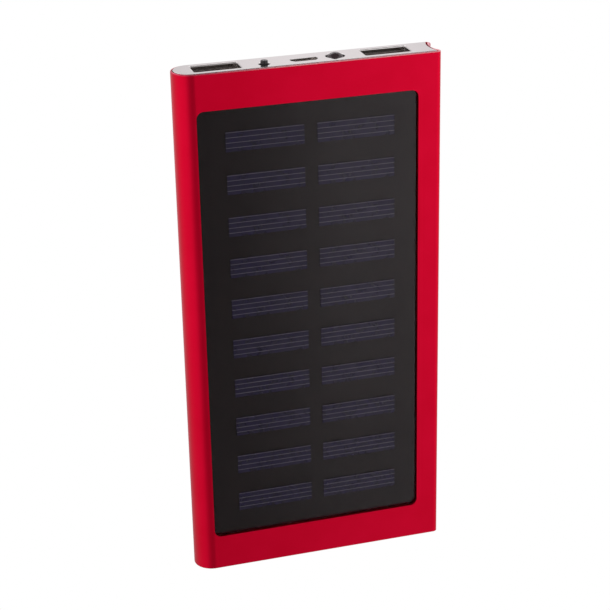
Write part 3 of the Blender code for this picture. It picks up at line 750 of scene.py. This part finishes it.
def micro_outline(clearance, corner=MICRO_CORNER, steps=5):
    """Outline of the micro socket, larger by a clearance. Its front is narrower than its back."""
    across = (MICRO_SIZE[0] + clearance) / 2
    up = (MICRO_SIZE[1] + clearance) / 2
    shoulder = -up * 0.1
    sharp = [
        Vector((across, up)),
        Vector((-across, up)),
        Vector((-across, shoulder)),
        Vector((MICRO_TAPER - across, -up)),
        Vector((across - MICRO_TAPER, -up)),
        Vector((across, shoulder)),
    ]
    points = []
    for before, here, after in zip(sharp[-1:] + sharp[:-1], sharp, sharp[1:] + sharp[:1]):
        start = here + (before - here).normalized() * corner
        end = here + (after - here).normalized() * corner
        for step in range(steps + 1):
            t = step / steps
            point = start * (1 - t) ** 2 + here * 2 * t * (1 - t) + end * t**2
            points.append((point.x, point.y))
    return points


def usb_outline(grow):
    """Outline of a full-size socket's opening, moved outwards by grow."""
    width, depth = USB_OPENING
    return rounded_rectangle(width + 2 * grow, depth + 2 * grow, USB_CORNER + grow, 6)


def cut_mouth(cap, name, outline, rounding):
    """Cuts an opening for a node through the cap's plate, with a rounded mouth."""
    middle = middle_of(name)
    rings = [(outline(0), -CAP_PLATE - 1), (outline(0), -rounding)]
    for sine, cosine in quarter()[1:]:
        rings.append((outline(rounding * (1 - cosine)), rounding * (sine - 1)))
    rings.append((outline(rounding), 1))
    cut(cap, skin(rings), (middle.x, middle.y, CAP_TOP))


def add_bosses(cap):
    """Two bosses behind the front wall, each with a pilot hole for one of the board's screws."""
    board_front = node_box("charging_board")[0].y
    boss_front = case_low.y + WALL + BOSS_WALL_GAP
    depth = board_front - BOSS_BOARD_GAP - boss_front
    for side in ("left", "right"):
        screw = middle_of(f"board_screw_{side}")
        at = (screw.x, boss_front + depth / 2, CAP_TOP - CAP_PLATE - BOSS_DEPTH + BOSS_OVERLAP)
        join(cap, block(BOSS_WIDTH, depth, BOSS_DEPTH), at)
        pilot = prism(circle(PILOT_HOLE, 24), PILOT_DEPTH)
        cut(cap, pilot, (screw.x, board_front, screw.z), facing_front=True)


def make_top_cap():
    """The plate with an opening for each socket, the button and the lamp."""
    cap = make_object("top_plate", cap_blank(), [CHROME], (0, 0, CAP_TOP))
    cut(cap, skirt_pocket(), (0, 0, CAP_TOP - CAP_DEPTH - 1))
    add_bosses(cap)
    for side in ("left", "right"):
        cut_mouth(cap, f"usb_{side}_insulator", usb_outline, USB_MOUTH)
    other_mouths = (
        ("micro_usb_shell", lambda grow: micro_outline(MICRO_CLEARANCE + 2 * grow), MICRO_MOUTH),
        ("power_button", lambda grow: circle(BUTTON_HOLE + 2 * grow, 48), HOLE_MOUTH),
        ("torch_led", lambda grow: circle(LAMP_HOLE + 2 * grow, 64), HOLE_MOUTH),
    )
    for name, outline, rounding in other_mouths:
        cut_mouth(cap, name, outline, rounding)
    even_shading(cap)
    stands_for(cap, CASE, "end_caps", "top_end_cap")


def make_bottom_cap():
    """The plain plate, with its outer face down."""
    cap = make_object("bottom_plate", cap_blank(), [CHROME])
    cap.rotation_euler = (math.pi, 0, 0)
    cut(cap, skirt_pocket(), (0, 0, CAP_PLATE))
    even_shading(cap)
    stands_for(cap, CASE, "end_caps", "bottom_end_cap")


make_case()
make_top_cap()
make_bottom_cap()


# ------------------------------------------------------ button, lamp and small socket


def make_button():
    """A turned plunger: a stem with a domed top, and the flange that keeps it under the cap."""
    low, high = node_box("power_button")
    middle = middle_of("power_button")
    height = high.z - low.z
    flange = (high.x - low.x) / 2
    flange_top = BUTTON_FLANGE_TOP - low.z
    flange_low = flange_top - BUTTON_FLANGE
    foot = BUTTON_FOOT_RADIUS
    bevel = BUTTON_FOOT_EDGE
    edge = BUTTON_FLANGE_EDGE
    profile = [(0, 0), (foot - bevel, 0), (foot, bevel), (foot + bevel, flange_low)]
    profile += [(flange - edge, flange_low), (flange, flange_low + edge)]
    profile += [(flange, flange_top - edge), (flange - edge, flange_top)]
    profile.append((BUTTON_STEM_RADIUS, flange_top))
    flat = BUTTON_STEM_RADIUS - BUTTON_ROUND
    lift = height - BUTTON_DOME - BUTTON_ROUND
    for sine, cosine in quarter(8):
        profile.append((flat + BUTTON_ROUND * cosine, lift + BUTTON_ROUND * sine))
    profile += [(0.4, height - 0.01), (0, height)]
    at = (middle.x, middle.y, low.z)
    button = make_object("button_plunger", turned(profile), [BUTTON_BLACK], at)
    stands_for(button, BUTTON, "button", "power_button")


def make_lamp():
    """A clear lens over a lead frame: two posts on two legs, and a cup with a chip on one post."""
    low, high = node_box("torch_led")
    middle = middle_of("torch_led")
    base = high.z - LAMP_LENGTH
    at = (middle.x, middle.y, base)
    rim = LAMP_FLANGE_RADIUS
    profile = [(0, 0), (rim - LAMP_EDGE, 0), (rim, LAMP_EDGE)]
    profile += [(rim, LAMP_FLANGE - LAMP_EDGE), (rim - LAMP_EDGE, LAMP_FLANGE)]
    profile.append((LAMP_RADIUS, LAMP_FLANGE))
    for sine, cosine in quarter(18)[:-1]:
        profile.append((LAMP_RADIUS * cosine, LAMP_LENGTH - LAMP_RADIUS + LAMP_RADIUS * sine))
    profile.append((0, LAMP_LENGTH))
    lens = make_object("lamp_lens", turned(profile, 72), [LENS], at)
    stands_for(lens, CASE, "lamp_lens", "torch_led")

    # The two posts, then the ledge that bears the cup and the arm that reaches over to it.
    frame_shape = bmesh.new()
    for x, top in ((-LAMP_POST_X, LAMP_CUP_HEIGHT), (LAMP_POST_X, LAMP_CUP_HEIGHT + 0.5)):
        post_size = (LAMP_POST, LAMP_POST, top - LAMP_POST_BASE)
        add_box(frame_shape, (x, 0, (LAMP_POST_BASE + top) / 2), post_size)
    add_box(frame_shape, (-0.55, 0, LAMP_CUP_HEIGHT - 0.3), (1.5, 0.9, 0.6))
    add_box(frame_shape, (0.95, 0, LAMP_CUP_HEIGHT + 0.35), (0.7, 0.5, 0.3))
    posts = make_object("lamp_lead_frame", frame_shape, [STEEL], at, smooth=0)
    stands_for(posts, CASE, "spring_steel")

    cup_at = (middle.x - 0.1, middle.y, base + LAMP_CUP_HEIGHT)
    cup_profile = [(0, 0), (0.75, 0), (0.95, 0.55), (0.85, 0.55), (0.5, 0.12), (0, 0.12)]
    cup = make_object("lamp_reflector_cup", turned(cup_profile, 40), [NICKEL], cup_at)
    stands_for(cup, CASE, "spring_steel")
    chip_shape = bmesh.new()
    add_box(chip_shape, (0, 0, 0.16), (0.36, 0.36, 0.12))
    chip = make_object("lamp_chip", chip_shape, [PHOSPHOR], cup_at, smooth=0)
    stands_for(chip, CASE, "lamp_lens")

    leg_shape = bmesh.new()
    leg_size = (LAMP_POST, LAMP_POST, base - low.z - LAMP_LEG_GAP)
    for x in (-LAMP_POST_X, LAMP_POST_X):
        add_box(leg_shape, (x, 0, (low.z - base - LAMP_LEG_GAP) / 2), leg_size)
    legs = make_object("lamp_legs", leg_shape, [STEEL], at, smooth=0)
    stands_for(legs, CASE, "spring_steel")


def make_micro_socket():
    """A pressed shell with a rolled mouth, and five contacts on the tongue of its moulding."""
    low, high = node_box("micro_usb_shell")
    middle = middle_of("micro_usb_shell")
    depth = high.z - low.z
    outer = micro_outline(0)
    inner = micro_outline(-2 * MICRO_WALL, MICRO_INNER_CORNER)
    rings = [
        (outer, 0),
        (outer, depth - MICRO_ROLL_DEPTH),
        (micro_outline(-MICRO_ROLL_WIDTH), depth),
        (micro_outline(-2 * MICRO_WALL + MICRO_ROLL_WIDTH, MICRO_INNER_CORNER), depth),
        (inner, depth - MICRO_ROLL_DEPTH),
        (inner, 0),
    ]
    at = (middle.x, middle.y, low.z)
    shell = make_object("micro_shell", skin(rings, closed=True), [NICKEL], at)
    stands_for(shell, CASE, "socket_steel", "micro_usb_shell")
    contact_pitch = 0.65
    contact_size = (0.32, 0.05, 3.2)
    contact_shape = bmesh.new()
    for number in range(5):
        add_box(contact_shape, ((number - 2) * contact_pitch, 0, 0), contact_size)
    tongue_high = node_box("micro_usb_insulator")[1]
    at = (middle.x, middle.y - 0.03, tongue_high.z - 1.75)
    contacts = make_object("micro_contacts", contact_shape, [GOLD], at, smooth=0)
    stands_for(contacts, CASE, "gold_contact")


make_button()
make_lamp()
make_micro_socket()


# ------------------------------------------------------ solar panel


def make_cover():
    """The clear film over the board and the cells."""
    width = cover_high.x - cover_low.x
    height = cover_high.z - cover_low.z
    depth = cover_high.y - cover_low.y
    radius = WINDOW_RADIUS - PANEL_GAP
    outline = rounded_rectangle(width, height, radius, 12)
    less = 2 * COVER_EDGE
    edge = rounded_rectangle(width - less, height - less, radius - COVER_EDGE, 12)
    shape = skin([(outline, 0), (outline, depth - COVER_EDGE), (edge, depth)])
    at = (cover_x, cover_high.y, cover_z)
    cover = make_object("solar_face", shape, [CLEAR_FACE], at, facing_front=True)
    cover.visible_shadow = False
    stands_for(cover, CASE, "solar_face", "solar_cover")


def make_cell(name):
    """A strip with printed silver lines across it, the first near its top edge."""
    low, high = node_box(name)
    width = high.x - low.x
    height = high.z - low.z
    thickness = high.y - low.y - CELL_LINE_HEIGHT
    shape = bmesh.new()
    add_box(shape, (0, 0, thickness / 2), (width, height, thickness))
    for number in range(CELL_LINES):
        up = height / 2 - CELL_FIRST_LINE - number * CELL_LINE_PITCH
        line_size = (width, CELL_LINE_WIDTH, CELL_LINE_HEIGHT)
        add_box(shape, (0, up, thickness + CELL_LINE_HEIGHT / 2), line_size, 1)
    at = ((low.x + high.x) / 2, high.y, (low.z + high.z) / 2)
    look = [SILICON, SILVER]
    cell = make_object(f"printed_{name}", shape, look, at, facing_front=True, smooth=0)
    stands_for(cell, CASE, "solar_cells", name)


make_cover()
for side_name in ("left", "right"):
    for row in range(CELL_ROWS):
        make_cell(f"solar_cell_{side_name}_{row + 1:02d}")


# ------------------------------------------------------ floor, light and camera


def make_floor():
    """White paper. The camera sees it fully lit, as an even white ground with no shadow."""
    shape = bmesh.new()
    bmesh.ops.create_grid(shape, x_segments=1, y_segments=1, size=6.0)
    paper = Finish("floor_paper", (0.80, 0.80, 0.80), 0.9)
    paper.roughness(paper.noise(40.0), 0.85, 0.95)
    lit = paper.node("ShaderNodeEmission")
    surface = paper.only_for_camera(lit.outputs[0], paper.shader.outputs[0])
    paper.feed(paper.tree.nodes["Material Output"].inputs["Surface"], surface)
    floor = make_object("floor", shape, [paper.material], smooth=0)
    floor.visible_glossy = False
    floor.visible_transmission = False


def make_back_softbox():
    """A wide, low light above and behind the object, which the camera doesn't see."""
    light = bpy.data.lights.new("back_softbox", "AREA")
    light.shape = "RECTANGLE"
    light.size = 0.9
    light.size_y = 0.25
    light.energy = 1.3
    softbox = bpy.data.objects.new("back_softbox", light)
    bpy.context.collection.objects.link(softbox)
    softbox.location = (0.1, 0.8, 0.75)
    towards_object = Vector((0, 0, 0.1)) - softbox.location
    softbox.rotation_euler = towards_object.to_track_quat("-Z", "Y").to_euler()
    softbox.visible_camera = False


# Brightness of the tent's front by angle from straight ahead, in degrees, from left to right.
TENT = (
    (-90, 1.0),
    (-60, 1.0),
    (-42, 0.95),
    (-24, 0.44),
    (-8, 0.32),
    (9, 0.27),
    (13, 0.37),
    (18.5, 1.0),
    (24, 1.46),
    (34, 1.12),
    (60, 0.95),
)
TENT_TINT = (1.0, 0.935, 0.955)
TENT_ROOF = (0.22, 0.21, 0.20)
TENT_BELOW = (0.32, 0.32, 0.32)

# The back is brightest at one sideways direction, and falls off with the square of the distance.
BACK_BRIGHTEST_X = 0.275
BACK_BRIGHTEST = 0.96
BACK_DARKEST = 0.75
BACK_FALL = 28.0

# The least that a direction's level part counts as, which keeps the slot's width even overhead.
LEAST_REACH = 0.62


def tent_colour(build):
    """Brightness of the tent by direction. The front has a dark slot up its middle, the back is
    nearly white and darker to the sides, the roof is dark, and the walls turn grey below."""
    way = build.node("ShaderNodeTexCoord")
    parts = build.node("ShaderNodeSeparateXYZ")
    build.feed(parts.inputs[0], way.outputs["Generated"])
    x, y, z = parts.outputs
    level = build.maths("SUBTRACT", 1.0, build.maths("MULTIPLY", z, z))
    reach = build.maths("SQRT", build.maths("MAXIMUM", level, LEAST_REACH))
    aside = build.maths("ARCSINE", build.maths("DIVIDE", x, reach))
    place = build.maths("ADD", build.maths("DIVIDE", aside, math.pi), 0.5)
    ramp = build.node("ShaderNodeValToRGB")
    ramp.color_ramp.interpolation = "EASE"
    stops = ramp.color_ramp.elements
    for number, (angle, bright) in enumerate(TENT):
        at = (angle + 90) / 180
        stop = stops[number] if number < 2 else stops.new(at)
        stop.position = at
        stop.color = (bright, bright, bright, 1)
    build.feed(ramp.inputs["Fac"], place)
    off_middle = build.maths("SUBTRACT", x, BACK_BRIGHTEST_X)
    falling = build.maths("MULTIPLY", build.maths("MULTIPLY", off_middle, off_middle), BACK_FALL)
    back = build.maths("MAXIMUM", build.maths("SUBTRACT", BACK_BRIGHTEST, falling), BACK_DARKEST)
    walls = build.blend(build.step(y, 0.2, 0.6), ramp.outputs["Color"], back)
    roofed = build.blend(build.step(z, 0.68, 0.84), walls, TENT_ROOF)
    faded = build.blend(build.step(z, -0.30, -0.55, 0.55), roofed, TENT_BELOW)
    return build.blend(1.0, faded, TENT_TINT, "MULTIPLY")


def make_world():
    """A light tent for everything but the camera, which sees plain white."""
    world = bpy.data.worlds.new("studio")
    world.use_nodes = True
    build = Nodes(world.node_tree)
    tent = build.tree.nodes["Background"]
    build.feed(tent.inputs["Color"], tent_colour(build))
    white = build.node("ShaderNodeBackground")
    build.feed(white.inputs["Color"], (1, 1, 1))
    surface = build.only_for_camera(white.outputs[0], tent.outputs[0])
    build.feed(build.tree.nodes["World Output"].inputs[0], surface)
    bpy.context.scene.world = world


def make_camera():
    """Looks down at the front and the top end, from the left of the object."""
    data = bpy.data.cameras.new("camera")
    data.lens = 107.25
    data.sensor_width = 36.0
    data.clip_start = 0.01
    data.clip_end = 20.0
    camera = bpy.data.objects.new("camera", data)
    bpy.context.collection.objects.link(camera)
    camera.location = (-0.13379, -0.46107, 0.28239)
    camera.rotation_euler = (math.radians(66.974), math.radians(1.127), math.radians(-16.476))
    bpy.context.scene.camera = camera


make_floor()
make_world()
make_back_softbox()
make_camera()
bpy.context.scene.view_settings.view_transform = "Standard"
